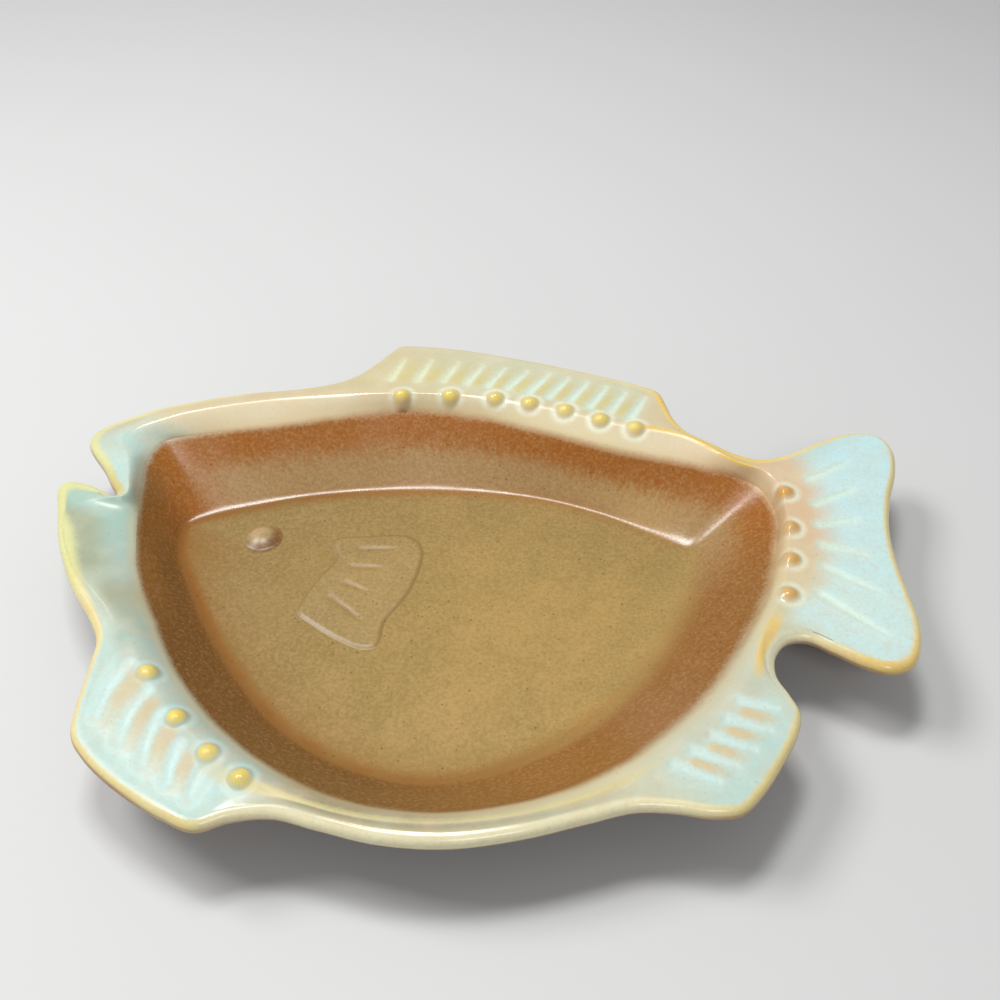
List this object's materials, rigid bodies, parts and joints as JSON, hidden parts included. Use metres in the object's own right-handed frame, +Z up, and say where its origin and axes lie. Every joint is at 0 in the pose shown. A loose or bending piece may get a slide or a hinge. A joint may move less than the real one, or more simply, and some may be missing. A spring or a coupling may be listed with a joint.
{
  "type": "fish shaped platter",
  "caption": "Shallow glazed stoneware serving platter in the shape of a deep-bellied fish, with a sloped well, a wide rim of fins and tail, raised beads and pressed fin rays.",
  "frame": {"origin": "on the table, under the middle of the dish's outer box", "axes": "+X from the mouth to the tail, +Y from the belly to the dorsal fin, +Z up out of the well"},
  "size_m": [0.2798, 0.2142, 0.0297],
  "materials": {
    "bare_stoneware": "matte unglazed clay, seen only on the foot ring and inside it",
    "brown_glaze": "glossy ochre brown glaze with fine dark specks, darker and more rusty on the wall",
    "aqua_glaze": "glossy pale aqua glaze that breaks to yellow and cream on edges and beads",
    "dark_brown_glaze": "glossy dark brown glaze"
  },
  "bodies": {
    "root": {"stoneware_body": "bare_stoneware", "well_glaze": "brown_glaze", "rim_glaze": "aqua_glaze", "underside_glaze": "dark_brown_glaze"}
  },
  "joints": []
}
